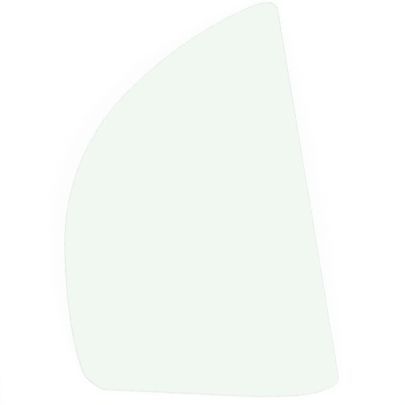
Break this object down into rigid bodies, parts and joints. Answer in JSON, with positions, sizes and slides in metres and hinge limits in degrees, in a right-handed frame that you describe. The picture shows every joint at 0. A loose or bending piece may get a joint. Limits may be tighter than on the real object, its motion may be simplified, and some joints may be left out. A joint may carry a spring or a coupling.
{
  "type": "quarter window glass",
  "caption": "Fixed side pane of pale green tinted safety glass with a straight leading edge, an arched rear edge, a clipped lower corner, a gentle double bend and a ground rim.",
  "frame": {"origin": "middle of the pane's box seen from above, at the surface that it lies on", "axes": "+X towards the straight leading edge, +Y up the glass as it is fitted, +Z out of the domed outer face, which lies upwards"},
  "size_m": [0.2775, 0.4, 0.0179],
  "materials": {
    "glass": "clear, pale green through the thickness, satin ground edge"
  },
  "bodies": {
    "root": {"quarter_glass": "glass"}
  },
  "joints": []
}
